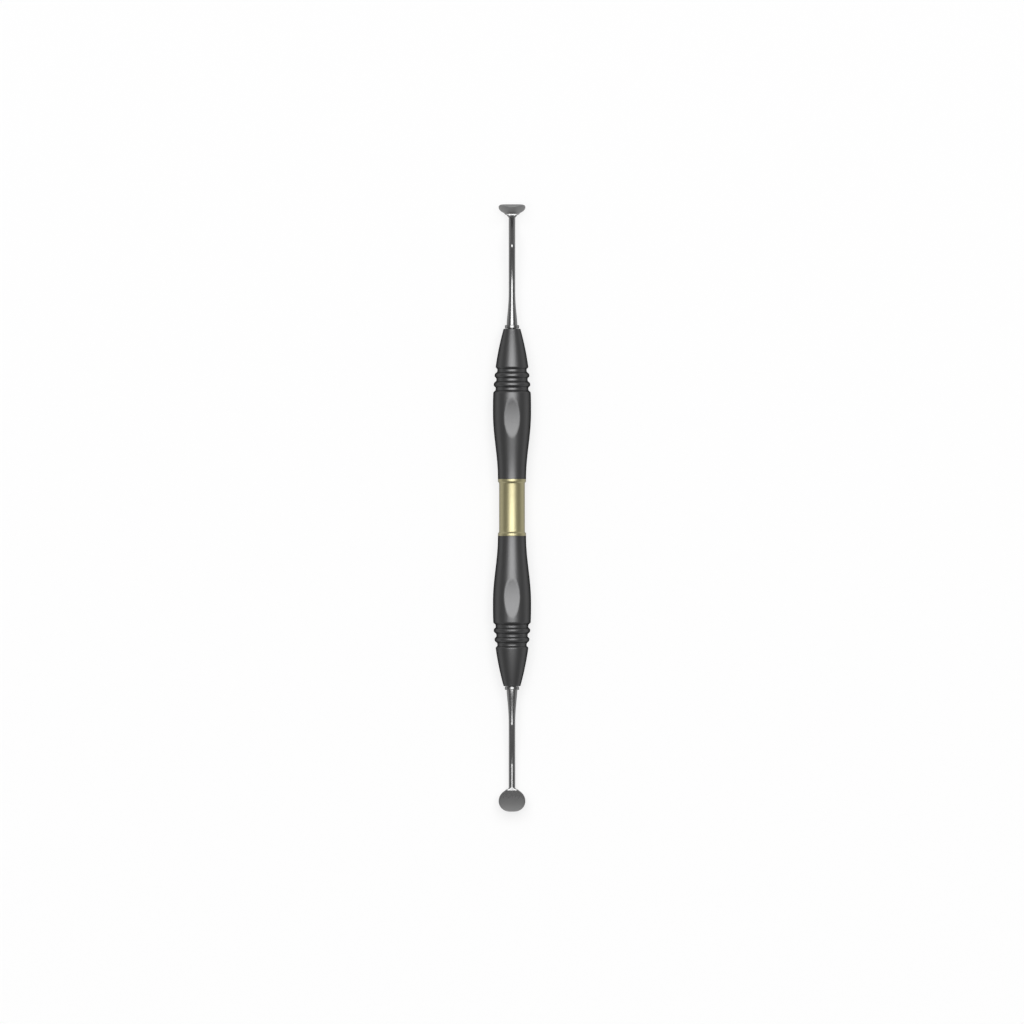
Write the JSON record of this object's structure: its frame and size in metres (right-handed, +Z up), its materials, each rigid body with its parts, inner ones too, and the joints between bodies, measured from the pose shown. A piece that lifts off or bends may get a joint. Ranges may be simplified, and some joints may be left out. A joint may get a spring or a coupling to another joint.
{
  "type": "sinus lift curette",
  "caption": "Slim dental hand curette: a bent polished shank with a round blade at each end, black moulded grips and a gold-coloured centre sleeve.",
  "frame": {"origin": "on the table plane, below the middle of the object's box", "axes": "+Y along the instrument towards the end whose blade stands square to the shank, +Z up from the table, +X across"},
  "size_m": [0.0114, 0.18, 0.0113],
  "materials": {
    "polished_steel": "polished stainless steel",
    "black_grip": "satin black moulded grip",
    "gold_sleeve": "gold-coloured anodised"
  },
  "bodies": {
    "root": {"upper_working_end": "polished_steel", "lower_working_end": "polished_steel", "handle_core": "polished_steel", "upper_grip": "black_grip", "lower_grip": "black_grip", "centre_sleeve": "gold_sleeve"}
  },
  "joints": []
}
